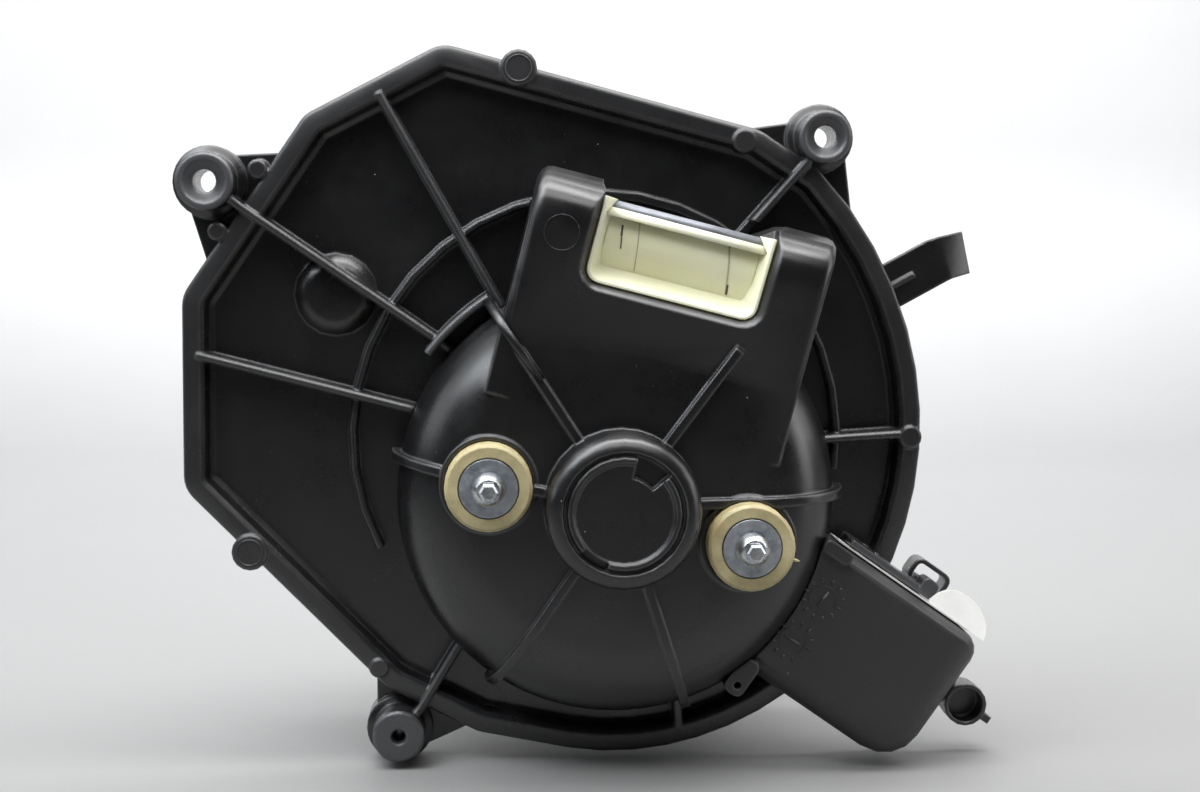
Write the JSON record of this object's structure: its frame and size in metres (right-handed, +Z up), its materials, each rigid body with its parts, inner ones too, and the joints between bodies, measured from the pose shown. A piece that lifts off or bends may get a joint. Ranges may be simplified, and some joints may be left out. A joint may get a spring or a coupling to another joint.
{
  "type": "car cabin blower motor",
  "caption": "Car cabin blower motor: a flat scroll cover with a domed motor holder, cooling snout and plug housing in front and a forward-curved fan wheel behind.",
  "frame": {"origin": "on the flat face of the upper left screw lug, midway between the edge of its bore and its rim, straight above the bore", "axes": "+Y along the motor axis from the motor holder towards the fan wheel, +Z up and +X to the right as seen from the motor holder's side; the motor axis runs through x 0.11544, z -0.09607"},
  "size_m": [0.2384, 0.1133, 0.2075],
  "materials": {
    "black_moulding": "satin",
    "matte_moulding": "matt",
    "cream_liner": "satin",
    "label_paper": "matt, bare",
    "tan_rubber": "matt",
    "zinc_plate": "zinc plated",
    "steel": "plain",
    "copper": "plain",
    "bronze": "plain",
    "ferrite": "matt",
    "carbon": "matt"
  },
  "bodies": {
    "housing": {"scroll_cover": "black_moulding", "motor_holder": "black_moulding", "connector_housing": "matte_moulding", "terminal_block": "matte_moulding", "brush_card": "matte_moulding", "duct_liner": "cream_liner", "blank_label": "label_paper", "mount_bush_left": "tan_rubber", "mount_bush_right": "tan_rubber", "bush_sleeve_left": "steel", "bush_sleeve_right": "steel", "washer_left": "zinc_plate", "washer_right": "zinc_plate", "mount_screw_left": "zinc_plate", "mount_screw_right": "zinc_plate", "motor_can": "zinc_plate", "motor_end_plate": "steel", "brush_spring_1": "steel", "brush_spring_2": "steel", "front_bearing": "bronze", "rear_bearing": "bronze", "terminal_1": "bronze", "terminal_2": "bronze", "magnet_1": "ferrite", "magnet_2": "ferrite", "brush_1": "carbon", "brush_2": "carbon"},
    "fan_rotor": {"fan_wheel": "black_moulding", "fan_clip": "steel", "motor_shaft": "steel", "armature_core": "steel", "armature_winding": "copper", "commutator": "copper"}
  },
  "joints": [
    {"name": "fan_spin", "type": "hinge", "parent": "housing", "child": "fan_rotor", "pos_m": [0.11544, 0.014, -0.09607], "axis": [0, 1, 0], "continuous": true}
  ]
}
